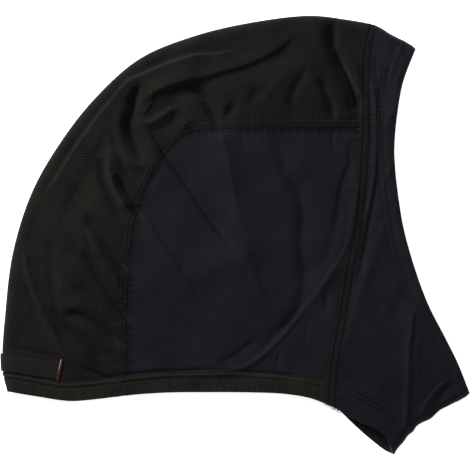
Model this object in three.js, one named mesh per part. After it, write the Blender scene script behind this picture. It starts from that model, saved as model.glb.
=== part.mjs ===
import * as THREE from "three";

// A stretch helmet liner that lies on its left side, folded along its middle line from nape to forehead.
// Millimetres, +Z up. The right wall is on top and carries the creases. The left wall lies flat on z = 0,
// and the origin is under the middle of the outline. The hollow between the walls is open at the neck
// edge, towards -Y, and at the face edge, towards +X.

const sewnGap = 0.3; // left between two pieces that are sewn together

// Thickness of each kind of cloth. A hem is the stretch cloth turned once.
const thickness = { mesh: 1.2, stretch: 1, hem: 2, elastic: 1.8, seam: 1.8, label: 0.8, tack: 0.8 };

// How far a piece stands out of the upper wall. On the lower wall all but the label lie flush.
const proud = { cloth: 0, seam: 0.4, elastic: 0.3 };

const seamWidth = { crown: 5.2, front: 6.6 };
const hemWidth = { face: 9.5, jaw: 14 };

// How the folded cloth stands up from the surface that it lies on.
const form = {
  turn: 9, // distance from the fold line over which the cloth turns over
  foldHeight: 10.5, // height of the upper wall just inside the fold line
  mouthHeight: 15, // height of the upper wall at the neck and face edges
  fullHeight: 27, // height that the upper wall swells to in the middle
  foldSwell: 42, // distance from the fold line over which the wall swells
  mouthSwell: 62, // distance from the open edges over which the wall swells
};

// Sections across the crown panel, from the neck edge up the back and over the top to the forehead:
// where the panel folds, and where the middle of its seam to the side panel runs.
const crownSections = [
  { at: "neck edge", foldX: -136.2, foldY: -93.9, seamX: -67.2, seamY: -98 },
  { at: "nape", foldX: -139.5, foldY: -79, seamX: -67.2, seamY: -72 },
  { at: "occiput", foldX: -137.8, foldY: -46.2, seamX: -67, seamY: -46 },
  { at: "back", foldX: -133.2, foldY: -10.2, seamX: -65.4, seamY: -17.4 },
  { at: "upper back", foldX: -121.8, foldY: 25.8, seamX: -61.2, seamY: 13.2 },
  { at: "shoulder", foldX: -103.8, foldY: 57, seamX: -52.8, seamY: 34.2 },
  { at: "corner", foldX: -82.8, foldY: 83.4, seamX: -43.2, seamY: 50 },
  { at: "crown back", foldX: -57, foldY: 105.9, seamX: -32, seamY: 61.5 },
  { at: "crown", foldX: -24.6, foldY: 119.4, seamX: -16, seamY: 65.3 },
  { at: "top", foldX: 11.4, foldY: 127.8, seamX: 14, seamY: 66 },
  { at: "front", foldX: 45, foldY: 131.6, seamX: 45, seamY: 66.3 },
  { at: "brow", foldX: 66, foldY: 129.4, seamX: 66, seamY: 66.5 },
  { at: "forehead", foldX: 85.2, foldY: 125.4, seamX: 86, seamY: 66.6 },
];

// The fold line runs on from the forehead section to the tip of the face edge.
const foreheadFold = [
  { x: 93.6, y: 120.4 },
  { x: 100.2, y: 117 },
  { x: 108.3, y: 111.4 },
];

// Sections across the face panel, from the forehead down to the jaw: the middle of the front seam, and
// the face edge. The seam runs past the fold line at its top and past the neck edge at its foot.
const faceSections = [
  { at: "forehead", seamX: 83.4, seamY: 130.2, edgeX: 108.3, edgeY: 111.4 },
  { at: "hairline", seamX: 78.9, seamY: 115.2, edgeX: 104.6, edgeY: 102.6 },
  { at: "temple top", seamX: 77.4, seamY: 99, edgeX: 100.8, edgeY: 92 },
  { at: "brow", seamX: 77.4, seamY: 78.6, edgeX: 97.5, edgeY: 75 },
  { at: "temple", seamX: 76.8, seamY: 51, edgeX: 95.4, edgeY: 50 },
  { at: "eye", seamX: 75, seamY: 24, edgeX: 97.4, edgeY: 26 },
  { at: "cheek top", seamX: 72, seamY: 0, edgeX: 101.2, edgeY: 3 },
  { at: "cheek", seamX: 67.8, seamY: -21, edgeX: 108, edgeY: -21 },
  { at: "low cheek", seamX: 64.2, seamY: -43.8, edgeX: 115.6, edgeY: -41.4 },
  { at: "jaw top", seamX: 60, seamY: -67.8, edgeX: 125.4, edgeY: -60.6 },
  { at: "jaw", seamX: 57.6, seamY: -85.8, edgeX: 133.2, edgeY: -76.2 },
  { at: "chin", seamX: 57, seamY: -108, edgeX: 140.7, edgeY: -94.8 },
];

// Sections across the neck band, from the nape to the front seam: its upper edge, which runs past the
// fold line and the seam, and its lower edge.
const bandSections = [
  { at: "nape", topX: -146, topY: -80.8, lowX: -136.2, lowY: -93.9 },
  { at: "label", topX: -122, topY: -84.8, lowX: -118.2, lowY: -96.8 },
  { at: "label end", topX: -103.8, topY: -88.2, lowX: -99, lowY: -99.4 },
  { at: "dip", topX: -87, topY: -87.4, lowX: -82.2, lowY: -98.2 },
  { at: "behind ear", topX: -67.8, topY: -85.2, lowX: -64.2, lowY: -96 },
  { at: "ear", topX: -48, topY: -82.8, lowX: -42, lowY: -94.4 },
  { at: "ear front", topX: -16.2, topY: -81.8, lowX: -16.2, lowY: -94.1 },
  { at: "cheek back", topX: 12, topY: -82.1, lowX: 12, lowY: -94.3 },
  { at: "cheek", topX: 33, topY: -83.7, lowX: 30, lowY: -95.2 },
  { at: "seam", topX: 49.8, topY: -87, lowX: 46, lowY: -98 },
  { at: "jaw", topX: 61.8, topY: -90, lowX: 61.6, lowY: -104.6 },
];

// The neck edge runs on below the face panel. The upper wall's edge sits back from the lower wall's.
const jawSections = [
  { at: "jaw back", upperX: 68, upperY: -107.2, lowerX: 69, lowerY: -111.3 },
  { at: "jaw", upperX: 76.2, upperY: -111.6, lowerX: 76.2, lowerY: -117.5 },
  { at: "jaw front", upperX: 84, upperY: -116.6, lowerX: 83.4, lowerY: -124.2 },
  { at: "under chin", upperX: 90, upperY: -122.6, lowerX: 90.4, lowerY: -129.6 },
  { at: "throat", upperX: 95.1, upperY: -131.6, lowerX: 95.1, lowerY: -131.6 },
];

// The fold under the chin, from the chin's tip to the throat.
const chinFold = [
  { x: 140.7, y: -94.8 },
  { x: 126.6, y: -103 },
  { x: 118.8, y: -108 },
  { x: 108.6, y: -113.6 },
  { x: 102.6, y: -120.4 },
  { x: 98.6, y: -126.2 },
  { x: 95.1, y: -131.6 },
];

// The label is sewn over the nape above the band, with a bar tack along its end on the right wall.
const label = { foldTopY: -69.8, foldLowY: -79.6, endTopX: -104.7, endTopY: -75.6, endLowX: -107.1, endLowY: -86.2 };
const tack = { width: 2.6, over: 0.9 }; // over: how far it runs past the label's two edges

// Creases of the upper wall, each an arc through three points. A rise below zero is a hollow. A lean
// above zero makes the side to the left of the crease's run wider and the other side steeper.
const creases = [
  { name: "rim ridge", x1: -118, y1: 19, x2: -74, y2: 84.6, x3: 3, y3: 112, width: 4.5, rise: 2.4, lean: 0 },
  { name: "crown sweep", x1: 35, y1: 123, x2: 6, y2: 98, x3: -33, y3: 90.6, width: 5, rise: -4.5, lean: 0 },
  { name: "hook top", x1: -30, y1: 91, x2: -52, y2: 86, x3: -55.5, y3: 72, width: 4, rise: -4, lean: 0 },
  { name: "hook lip", x1: -59, y1: 86, x2: -57, y2: 69.6, x3: -36, y3: 76, width: 3.5, rise: 3.5, lean: 0 },
  { name: "hook side", x1: -61, y1: 92, x2: -67.5, y2: 68, x3: -57, y3: 45, width: 4.5, rise: -4.5, lean: 0 },
  { name: "corner hollow", x1: -52, y1: 63, x2: -47, y2: 54, x3: -41, y3: 44, width: 3.5, rise: -2.5, lean: 0 },
  { name: "back ridge", x1: -77, y1: 46, x2: -74, y2: 28, x3: -62, y3: 12, width: 4, rise: 3, lean: 0 },
  { name: "back hollow", x1: -81, y1: 43, x2: -79, y2: 25, x3: -67, y3: 10, width: 4, rise: -2.5, lean: 0 },
  { name: "nape hollow", x1: -101, y1: -44, x2: -85, y2: -48.6, x3: -71, y3: -62, width: 4.5, rise: -2.5, lean: 0 },
  { name: "brow hollow", x1: 54, y1: 128, x2: 59.5, y2: 104, x3: 69, y3: 74, width: 4.5, rise: -3.5, lean: 0 },
  { name: "front hollow", x1: 39, y1: 101, x2: 32, y2: 87, x3: 35, y3: 71, width: 5, rise: -2.5, lean: 0 },
  { name: "ear fold", x1: -28, y1: 91, x2: -6, y2: 48, x3: 10, y3: -17, width: 4.5, rise: -4, lean: 0.35 },
  { name: "ear fold 2", x1: -43, y1: 49, x2: -18, y2: 12, x3: 15, y3: -30, width: 5, rise: -2.6, lean: 0.3 },
  { name: "ear fold 3", x1: -58, y1: 14, x2: -38, y2: -18, x3: -18, y3: -61, width: 5, rise: -2.2, lean: 0.3 },
  { name: "cheek ridge", x1: 70, y1: 0, x2: 48, y2: -34, x3: 8, y3: -80, width: 5.5, rise: 4, lean: -0.45 },
  { name: "cheek hollow", x1: 37, y1: -8, x2: 36, y2: -42, x3: 16, y3: -66, width: 5, rise: -3, lean: 0 },
  { name: "temple hollow", x1: 20, y1: 57, x2: 28, y2: 41, x3: 43, y3: 18, width: 5, rise: -2, lean: 0.2 },
  { name: "seam hollow", x1: 70, y1: 58, x2: 65.5, y2: 42, x3: 60, y3: 20, width: 3.5, rise: -3, lean: 0 },
  { name: "band hollow", x1: -32, y1: -76, x2: -16, y2: -80, x3: 2, y3: -71, width: 3.5, rise: -2.4, lean: 0 },
  { name: "face flute", x1: 82, y1: 94, x2: 85.5, y2: 45, x3: 76, y3: -14, width: 4, rise: 2.6, lean: 0.3 },
  { name: "jaw flute", x1: 103, y1: -57, x2: 101.5, y2: -90, x3: 101.4, y3: -118, width: 3.5, rise: 2.4, lean: 0.2 },
  { name: "jaw hollow", x1: 106.5, y1: -60, x2: 105, y2: -87, x3: 104.5, y3: -111, width: 3.5, rise: -2.4, lean: 0 },
  { name: "chin pocket", x1: 125, y1: -90, x2: 119.5, y2: -99, x3: 113, y3: -108, width: 4.5, rise: -4, lean: 0 },
];

// Steps of each piece's grid. Upper and lower are the steps between the fold and the far edge.
const turnSteps = 4; // of them, the steps in which the cloth turns over
const grid = {
  crown: { along: 46, upper: 14, lower: 7 },
  side: { upper: 24, lower: 12 },
  face: { upper: 36, lower: 22, across: 6 },
  band: { upper: 36, lower: 18, across: 3 },
  crownSeam: { across: 2 },
  frontSeam: { upper: 38, lower: 20, across: 2 },
  label: { upper: 9, lower: 7, across: 3 },
  tack: { along: 4, across: 2 },
};

// Plane curves

const curveStep = 1.5; // length of the straight steps that stand for a curve
const onCurve = 0.05; // nearer than this a point counts as lying on the curve

function curveThrough(points) {
  const corners = points.map(({ x, y }) => new THREE.Vector3(x, y, 0));
  const curve = new THREE.CatmullRomCurve3(corners, false, "centripetal");
  const steps = Math.ceil(curve.getLength() / curveStep);
  return curve.getSpacedPoints(steps).map(({ x, y }) => new THREE.Vector2(x, y));
}

function column(rows, xName, yName) {
  return rows.map((row) => ({ x: row[xName], y: row[yName] }));
}

// The curve moved sideways, to the left of its run where the distance is above zero.
function offset(curve, distance) {
  return curve.map((point, i) => {
    const before = curve[Math.max(i - 1, 0)];
    const after = curve[Math.min(i + 1, curve.length - 1)];
    const run = after.clone().sub(before).normalize();
    return new THREE.Vector2(point.x - run.y * distance, point.y + run.x * distance);
  });
}

// How far along curve a, in steps, it first crosses curve b.
function crossing(a, b) {
  for (let i = 0; i + 1 < a.length; i++) {
    const runA = a[i + 1].clone().sub(a[i]);
    for (let j = 0; j + 1 < b.length; j++) {
      const runB = b[j + 1].clone().sub(b[j]);
      const away = b[j].clone().sub(a[i]);
      const alongA = away.cross(runB) / runA.cross(runB);
      const alongB = away.cross(runA) / runA.cross(runB);
      if (alongA >= 0 && alongA <= 1 && alongB >= 0 && alongB <= 1) return i + alongA;
    }
  }
  throw new Error("two curves that should cross don't");
}

function pointAlong(curve, along) {
  const i = Math.min(Math.floor(along), curve.length - 2);
  return curve[i].clone().lerp(curve[i + 1], along - i);
}

// The stretch of a curve between its crossings with two others, run from the first to the second.
// Null stands for the curve's own start as the first of them, and for its own end as the second.
function cut(curve, from, to) {
  const start = from ? crossing(curve, from) : 0;
  const end = to ? crossing(curve, to) : curve.length - 1;
  const low = Math.min(start, end);
  const high = Math.max(start, end);
  const inside = curve.filter((_, i) => i > low + onCurve && i < high - onCurve);
  const stretch = [pointAlong(curve, low), ...inside, pointAlong(curve, high)];
  return start < end ? stretch : stretch.reverse();
}

function lengthOf(curve) {
  return curve.slice(1).reduce((sum, point, i) => sum + point.distanceTo(curve[i]), 0);
}

// A function of the share of a curve's length that gives the point there.
function walk(curve) {
  const sums = [0];
  for (let i = 1; i < curve.length; i++) sums.push(sums[i - 1] + curve[i].distanceTo(curve[i - 1]));
  return (share) => {
    const goal = share * sums[sums.length - 1];
    let i = 1;
    while (i < curve.length - 1 && sums[i] < goal) i++;
    return curve[i - 1].clone().lerp(curve[i], (goal - sums[i - 1]) / (sums[i] - sums[i - 1]));
  };
}

// The part of the plane inside four edges, as a Coons patch. Left and right are its edges along u,
// and start and end its edges along v, at u = 0 and u = 1.
function patch(left, right, start, end) {
  const [l, r, s, e] = [left, right, start, end].map(walk);
  return (u, v) => {
    const sides = l(u).lerp(r(u), v);
    const ends = s(v).lerp(e(v), u);
    const corners = l(0).lerp(r(0), v).lerp(l(1).lerp(r(1), v), u);
    return sides.add(ends).sub(corners);
  };
}

// The nearest point of a curve to (x, y): its distance, the direction from it, its share of the curve
// and the side of the run that (x, y) is on. From a point on the curve the direction is to the right
// of the run, which is the side that the liner is on where the curve is a fold line.
function nearest(curve, x, y) {
  const best = { distance: Infinity };
  for (let i = 0; i + 1 < curve.length; i++) {
    const runX = curve[i + 1].x - curve[i].x;
    const runY = curve[i + 1].y - curve[i].y;
    const length = Math.hypot(runX, runY);
    const along = ((x - curve[i].x) * runX + (y - curve[i].y) * runY) / length ** 2;
    const t = THREE.MathUtils.clamp(along, 0, 1);
    const awayX = x - curve[i].x - runX * t;
    const awayY = y - curve[i].y - runY * t;
    const distance = Math.hypot(awayX, awayY);
    if (distance < best.distance) {
      const on = distance < onCurve;
      best.distance = on ? 0 : distance;
      best.awayX = on ? runY / length : awayX / distance;
      best.awayY = on ? -runX / length : awayY / distance;
      best.share = (i + t) / (curve.length - 1);
      best.side = Math.sign(runX * awayY - runY * awayX);
    }
  }
  return best;
}

function nearestOf(curves, x, y) {
  return curves.map((curve) => nearest(curve, x, y)).reduce((a, b) => (a.distance < b.distance ? a : b));
}

const crownFold = curveThrough([...column(crownSections, "foldX", "foldY"), ...foreheadFold]);
const throatFold = curveThrough(chinFold);
const crownSeamLine = curveThrough(column(crownSections, "seamX", "seamY"));
const frontSeamLine = curveThrough(column(faceSections, "seamX", "seamY"));
const faceEdge = curveThrough(column(faceSections, "edgeX", "edgeY"));
const bandTop = curveThrough(column(bandSections, "topX", "topY"));
const bandLow = column(bandSections, "lowX", "lowY");
const neckEdge = {
  upper: curveThrough([...bandLow, ...column(jawSections, "upperX", "upperY")]),
  lower: curveThrough([...bandLow, ...column(jawSections, "lowerX", "lowerY")]),
};

// The edges of the pieces, beside the middle lines of their seams. The crown seam runs up the back
// with the crown panel on its left, and the front seam runs down with the face panel on its left.
const edges = {
  seamOverCrown: offset(crownSeamLine, seamWidth.crown / 2),
  seamOverSide: offset(crownSeamLine, -seamWidth.crown / 2),
  crownAtSeam: offset(crownSeamLine, seamWidth.crown / 2 + sewnGap),
  sideAtSeam: offset(crownSeamLine, -seamWidth.crown / 2 - sewnGap),
  frontOverFace: offset(frontSeamLine, seamWidth.front / 2),
  frontOverSide: offset(frontSeamLine, -seamWidth.front / 2),
  faceAtFront: offset(frontSeamLine, seamWidth.front / 2 + sewnGap),
  sideAtFront: offset(frontSeamLine, -seamWidth.front / 2 - sewnGap),
  panelAtBand: offset(bandTop, sewnGap / 2),
  bandAtPanel: offset(bandTop, -sewnGap / 2),
};

// The two walls' heights

const mix = THREE.MathUtils.lerp;
const swell = (t) => 1 - Math.exp(-t * t);

function creaseCurve({ x1, y1, x2, y2, x3, y3 }) {
  const start = new THREE.Vector2(x1, y1);
  const bend = new THREE.Vector2(2 * x2 - (x1 + x3) / 2, 2 * y2 - (y1 + y3) / 2);
  return new THREE.QuadraticBezierCurve(start, bend, new THREE.Vector2(x3, y3)).getPoints(12);
}

const creaseCurves = creases.map(creaseCurve);

// Each crease fades in and out along its run and is bell-shaped across it.
function creaseHeight(x, y) {
  return creases.reduce((sum, { width, rise, lean }, i) => {
    const { distance, share, side } = nearest(creaseCurves[i], x, y);
    const across = Math.exp(-((distance / (width * (1 + lean * side))) ** 2));
    return sum + rise * Math.sin(Math.PI * share) ** 0.7 * across;
  }, 0);
}

function upperHeight(x, y) {
  const fold = nearestOf([crownFold, throatFold], x, y).distance;
  const mouth = nearestOf([faceEdge, neckEdge.upper], x, y).distance;
  const middle = mix(form.mouthHeight, form.fullHeight, swell(mouth / form.mouthSwell));
  return mix(form.foldHeight, middle, swell(fold / form.foldSwell)) + creaseHeight(x, y);
}

// The lower wall lies flat but for where the label is between it and the surface.
const labelLift = thickness.label + sewnGap;
const labelBed = { flat: 7.5, round: 15 }; // distances from the label's middle line
const labelMiddle = [
  new THREE.Vector2(-150, (label.foldTopY + label.foldLowY) / 2),
  new THREE.Vector2((label.endTopX + label.endLowX) / 2, (label.endTopY + label.endLowY) / 2),
];

function lowerHeight(x, y) {
  const { distance } = nearest(labelMiddle, x, y);
  return labelLift * (1 - THREE.MathUtils.smoothstep(distance, labelBed.flat, labelBed.round));
}

const upper = { side: 1, height: upperHeight, neckEdge: neckEdge.upper };
const lower = { side: -1, height: lowerHeight, neckEdge: neckEdge.lower };
const slopeStep = 0.4;

// The point of a wall's outer face at (x, y), and the direction that the face looks. Near the fold line
// the section is a quarter of an ellipse, and the walls meet at half of the fold's height.
function clothAt({ x, y }, { side, height }) {
  const fold = nearestOf([crownFold, throatFold], x, y);
  const cosine = 1 - Math.min(fold.distance / form.turn, 1);
  const sine = Math.sqrt(1 - cosine ** 2);
  const stands = height(x, y) - form.foldHeight / 2;
  const slopeX = (height(x + slopeStep, y) - height(x - slopeStep, y)) / (2 * slopeStep);
  const slopeY = (height(x, y + slopeStep) - height(x, y - slopeStep)) / (2 * slopeStep);
  const steep = (stands * cosine) / form.turn;
  const facing = new THREE.Vector3(
    -slopeX * sine ** 2 - steep * fold.awayX,
    -slopeY * sine ** 2 - steep * fold.awayY,
    sine,
  );
  return {
    on: new THREE.Vector3(x, y, form.foldHeight / 2 + stands * sine),
    facing: facing.normalize().multiplyScalar(side),
  };
}

// Both faces of a piece at a point of the plane. Lift is how far it stands out of its wall.
function wallAt(point, layer, thick, lift) {
  const { on, facing } = clothAt(point, layer);
  return {
    outer: on.clone().addScaledVector(facing, lift),
    inner: on.clone().addScaledVector(facing, lift - thick),
  };
}

// Closed solids from grids

// One solid from rows of wall points. In a ring the last row joins the first.
function shell(rows, ring = false) {
  const width = rows[0].length;
  const positions = rows.flatMap((row) => row.flatMap(({ outer, inner }) => [...outer, ...inner]));
  const outer = (i, j) => ((i % rows.length) * width + j) * 2;
  const inner = (i, j) => outer(i, j) + 1;
  const faces = [];
  const quad = (a, b, c, d) => faces.push(a, b, c, a, c, d);
  for (let i = 0; i < (ring ? rows.length : rows.length - 1); i++) {
    for (let j = 0; j + 1 < width; j++) {
      quad(outer(i, j), outer(i + 1, j), outer(i + 1, j + 1), outer(i, j + 1));
      quad(inner(i, j), inner(i, j + 1), inner(i + 1, j + 1), inner(i + 1, j));
    }
    quad(inner(i, 0), inner(i + 1, 0), outer(i + 1, 0), outer(i, 0));
    quad(outer(i, width - 1), outer(i + 1, width - 1), inner(i + 1, width - 1), inner(i, width - 1));
  }
  const end = rows.length - 1;
  for (let j = 0; j + 1 < width && !ring; j++) {
    quad(outer(0, j), outer(0, j + 1), inner(0, j + 1), inner(0, j));
    quad(inner(end, j), inner(end, j + 1), outer(end, j + 1), outer(end, j));
  }
  const geometry = new THREE.BufferGeometry();
  geometry.setAttribute("position", new THREE.Float32BufferAttribute(positions, 3));
  geometry.setIndex(signedVolume(positions, faces) < 0 ? faces.reverse() : faces);
  geometry.computeVertexNormals();
  return geometry;
}

function signedVolume(positions, faces) {
  const corner = (i) => new THREE.Vector3().fromArray(positions, faces[i] * 3);
  let sum = 0;
  for (let i = 0; i < faces.length; i += 3) sum += corner(i).dot(corner(i + 1).cross(corner(i + 2)));
  return sum;
}

function even(steps) {
  return Array.from({ length: steps + 1 }, (_, i) => i / steps);
}

// Shares of a length that starts at the fold line, with close steps where the cloth turns over.
function fromFold(steps, length) {
  const turning = even(turnSteps).slice(0, -1).map((t) => 1 - Math.cos((Math.PI / 2) * t));
  const turned = form.turn / length;
  return [...turning.map((t) => t * turned), ...even(steps - turnSteps).map((t) => mix(turned, 1, t))];
}

// Stations up the upper wall to the fold line, and on down the lower wall.
function overFold(steps, length) {
  const up = fromFold(steps.upper, length).map((share) => ({ layer: upper, share }));
  const down = fromFold(steps.lower, length).map((share) => ({ layer: lower, share }));
  return [...up.reverse(), ...down.slice(1)];
}

function liftOn(layer, height) {
  return layer === upper ? height : 0;
}

// The pieces

function crownPanel() {
  const at = patch(
    cut(crownFold, edges.panelAtBand, edges.sideAtFront),
    cut(edges.crownAtSeam, edges.panelAtBand, edges.sideAtFront),
    cut(edges.panelAtBand, crownFold, edges.crownAtSeam),
    cut(edges.sideAtFront, crownFold, edges.crownAtSeam),
  );
  const row = (u) => {
    const width = at(u, 0).distanceTo(at(u, 1));
    return overFold(grid.crown, width).map(({ layer, share }) => {
      return wallAt(at(u, share), layer, thickness.mesh, proud.cloth);
    });
  };
  return shell(even(grid.crown.along).map(row));
}

// How far along an edge beside the crown seam the side panel's rounded corner is, in steps.
function cornerAlong(edge) {
  const { seamX, seamY } = crownSections.find(({ at }) => at === "corner");
  return Math.round(nearest(edge, seamX, seamY).share * (edge.length - 1));
}

function sidePanel(layer, steps) {
  const seam = cut(edges.sideAtSeam, edges.panelAtBand, edges.sideAtFront);
  const corner = cornerAlong(seam);
  const at = patch(
    seam.slice(0, corner + 1),
    cut(edges.sideAtFront, edges.panelAtBand, edges.sideAtSeam),
    cut(edges.panelAtBand, edges.sideAtSeam, edges.sideAtFront),
    seam.slice(corner),
  );
  const row = (u) => even(steps).map((v) => wallAt(at(u, v), layer, thickness.stretch, proud.cloth));
  return shell(even(steps).map(row));
}

function facePatch(layer) {
  const seam = cut(edges.faceAtFront, crownFold, layer.neckEdge);
  const jaw = cut(layer.neckEdge, edges.faceAtFront, null);
  const forehead = cut(crownFold, edges.faceAtFront, null);
  return patch([...seam, ...jaw.slice(1)], faceEdge, forehead, throatFold.slice().reverse());
}

// The hems along the face edge and the jaw are the cloth turned once.
function faceThickness({ x, y }) {
  const atFace = nearest(faceEdge, x, y).distance < hemWidth.face + sewnGap;
  const atJaw = x > edges.faceAtFront.at(-1).x && nearest(neckEdge.upper, x, y).distance < hemWidth.jaw;
  return atFace || atJaw ? thickness.hem : thickness.stretch;
}

// A ring: from the forehead down the upper wall, round under the chin and back up the lower wall.
function facePanel() {
  const half = lengthOf(faceEdge) / 2;
  const rowsOn = (layer, steps) => {
    const at = facePatch(layer);
    const down = fromFold(steps / 2, half).map((share) => share / 2);
    const shares = [...down, ...down.slice(0, -1).reverse().map((share) => 1 - share)];
    return shares.map((u) => {
      const hemAt = 1 - hemWidth.face / at(u, 0).distanceTo(at(u, 1));
      const across = [...even(grid.face.across).map((t) => t * hemAt), 1];
      return across.map((v) => wallAt(at(u, v), layer, faceThickness(at(u, v)), proud.cloth));
    });
  };
  const down = rowsOn(upper, grid.face.upper);
  const up = rowsOn(lower, grid.face.lower).reverse();
  return shell([...down.slice(0, -1), ...up.slice(0, -1)], true);
}

// A strip that runs over the fold line, along u.
function strip(at, steps, length, thick, liftAt) {
  const row = ({ layer, share }) => {
    return even(steps.across).map((v) => wallAt(at(share, v), layer, thick, liftAt(layer)));
  };
  return shell(overFold(steps, length).map(row));
}

function napeBand() {
  const top = cut(edges.bandAtPanel, crownFold, edges.sideAtFront);
  const at = patch(
    top,
    cut(neckEdge.upper, null, edges.sideAtFront),
    cut(crownFold, null, edges.bandAtPanel).reverse(),
    cut(edges.sideAtFront, edges.bandAtPanel, neckEdge.upper),
  );
  const lift = (layer) => liftOn(layer, proud.elastic);
  return strip(at, grid.band, lengthOf(top), thickness.elastic, lift);
}

function frontSeam() {
  const side = cut(edges.frontOverSide, crownFold, neckEdge.upper);
  const at = patch(
    side,
    cut(edges.frontOverFace, crownFold, neckEdge.upper),
    cut(crownFold, edges.frontOverSide, edges.frontOverFace),
    cut(neckEdge.upper, edges.frontOverSide, edges.frontOverFace),
  );
  const lift = (layer) => liftOn(layer, proud.seam);
  return strip(at, grid.frontSeam, lengthOf(side), thickness.seam, lift);
}

// The seam has as many steps on each side of the side panel's corner as the panel has.
function crownSeam(layer, steps) {
  const side = cut(edges.seamOverSide, edges.panelAtBand, edges.sideAtFront);
  const at = patch(
    cut(edges.seamOverCrown, edges.panelAtBand, edges.sideAtFront),
    side,
    cut(edges.panelAtBand, edges.seamOverCrown, edges.seamOverSide),
    cut(edges.sideAtFront, edges.seamOverCrown, edges.seamOverSide),
  );
  const corner = lengthOf(side.slice(0, cornerAlong(side) + 1)) / lengthOf(side);
  const shares = [...even(steps).map((t) => t * corner), ...even(steps).slice(1).map((t) => mix(corner, 1, t))];
  const lift = liftOn(layer, proud.seam);
  const row = (u) => even(grid.crownSeam.across).map((v) => wallAt(at(u, v), layer, thickness.seam, lift));
  return shell(shares.map(row));
}

function napeLabel() {
  const line = (foldY, endX, endY) => curveThrough([{ x: labelMiddle[0].x, y: foldY }, { x: endX, y: endY }]);
  const top = line(label.foldTopY, label.endTopX, label.endTopY);
  const low = line(label.foldLowY, label.endLowX, label.endLowY);
  const left = cut(top, crownFold, null);
  const at = patch(left, cut(low, crownFold, null), cut(crownFold, top, low), [left.at(-1), low.at(-1)]);
  return strip(at, grid.label, lengthOf(left), thickness.label, () => labelLift);
}

// The tack closes the label's end and slopes with it.
function barTack() {
  const top = new THREE.Vector2(label.endTopX, label.endTopY);
  const low = new THREE.Vector2(label.endLowX, label.endLowY);
  const down = low.clone().sub(top).normalize();
  const side = new THREE.Vector2(-down.y, down.x);
  const start = top.addScaledVector(down, -tack.over).addScaledVector(side, sewnGap);
  const end = low.addScaledVector(down, tack.over).addScaledVector(side, sewnGap);
  const lift = thickness.tack + sewnGap;
  const pointAt = (u, v) => start.clone().lerp(end, u).addScaledVector(side, v * tack.width);
  const row = (u) => even(grid.tack.across).map((v) => wallAt(pointAt(u, v), upper, thickness.tack, lift));
  return shell(even(grid.tack.along).map(row));
}

// Materials

const material = (color, roughness) => new THREE.MeshStandardMaterial({ color, roughness, metalness: 0 });
const materials = {
  mesh: material("#22211f", 0.95),
  stretch: material("#1b1b1f", 0.85),
  elastic: material("#1f201d", 0.9),
  thread: material("#161617", 0.8),
  label: material("#202020", 0.75),
  tack: material("#a3262b", 0.7),
};

function piece(name, geometry, look) {
  const mesh = new THREE.Mesh(geometry, look);
  mesh.name = name;
  return mesh;
}

const liner = new THREE.Group();
liner.name = "helmet_liner";
liner.add(
  piece("crown_panel", crownPanel(), materials.mesh),
  piece("side_panel_right", sidePanel(upper, grid.side.upper), materials.stretch),
  piece("side_panel_left", sidePanel(lower, grid.side.lower), materials.stretch),
  piece("face_panel", facePanel(), materials.stretch),
  piece("nape_band", napeBand(), materials.elastic),
  piece("crown_seam_right", crownSeam(upper, grid.side.upper), materials.thread),
  piece("crown_seam_left", crownSeam(lower, grid.side.lower), materials.thread),
  piece("front_seam", frontSeam(), materials.thread),
  piece("label", napeLabel(), materials.label),
  piece("bar_tack", barTack(), materials.tack),
);

export default liner;
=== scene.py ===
import math
import bpy
import numpy as np
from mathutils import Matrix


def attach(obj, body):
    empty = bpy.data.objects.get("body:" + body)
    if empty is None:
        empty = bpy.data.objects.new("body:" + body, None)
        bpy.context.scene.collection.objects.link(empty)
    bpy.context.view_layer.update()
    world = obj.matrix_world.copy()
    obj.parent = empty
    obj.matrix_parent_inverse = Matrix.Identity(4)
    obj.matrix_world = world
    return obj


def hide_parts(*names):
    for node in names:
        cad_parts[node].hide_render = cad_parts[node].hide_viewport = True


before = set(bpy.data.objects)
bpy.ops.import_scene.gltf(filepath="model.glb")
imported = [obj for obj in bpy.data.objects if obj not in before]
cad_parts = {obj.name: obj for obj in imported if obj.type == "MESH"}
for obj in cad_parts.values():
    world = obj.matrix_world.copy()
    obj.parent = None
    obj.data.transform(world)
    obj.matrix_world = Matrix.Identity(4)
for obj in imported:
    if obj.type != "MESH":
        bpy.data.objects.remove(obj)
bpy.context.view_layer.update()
mm = 0.001


def rgb(hexColour):  # sRGB hex to the linear colour that a shader wants
    channels = [int(hexColour[i:i + 2], 16) / 255 for i in (1, 3, 5)]
    return [c / 12.92 if c <= 0.04045 else ((c + 0.055) / 1.055) ** 2.4 for c in channels] + [1]


def newObject(name, data):
    thing = bpy.data.objects.new(name, data)
    bpy.context.collection.objects.link(thing)
    return thing


# The camera looks straight down on the folded liner, from far away.

camera = {"lens": 500, "sensor": 36, "frameWidth": 0.282, "focusHeight": 0.005, "farthest": 30}

distance = camera["frameWidth"] * camera["lens"] / camera["sensor"]
cameraData = bpy.data.cameras.new("camera")
cameraData.lens, cameraData.sensor_width = camera["lens"], camera["sensor"]
cameraData.clip_end = camera["farthest"]
cameraObject = newObject("camera", cameraData)
cameraObject.location = (0, 0, distance + camera["focusHeight"])
bpy.context.scene.camera = cameraObject
print("camera is set")


# The lines of the pattern in the plane, in millimetres: the same ones that the CAD is made from.

form = {
    "turn": 6, "foldHeight": 10.5, "mouthHeight": 15, "fullHeight": 24, "foldSwell": 32, "mouthSwell": 62,
    "gap": 0.3, "crownSeam": 5.2, "frontSeam": 6.6, "seamGap": 0.1, "bandGap": 0.05, "onFold": 0.05,
    "faceHem": 9.5, "jawHem": 14, "hemSteepness": 4,
}
thick = {"mesh": 1.2, "stretch": 1.0, "hem": 2.0, "elastic": 1.8, "seam": 1.8, "label": 0.8}

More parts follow.
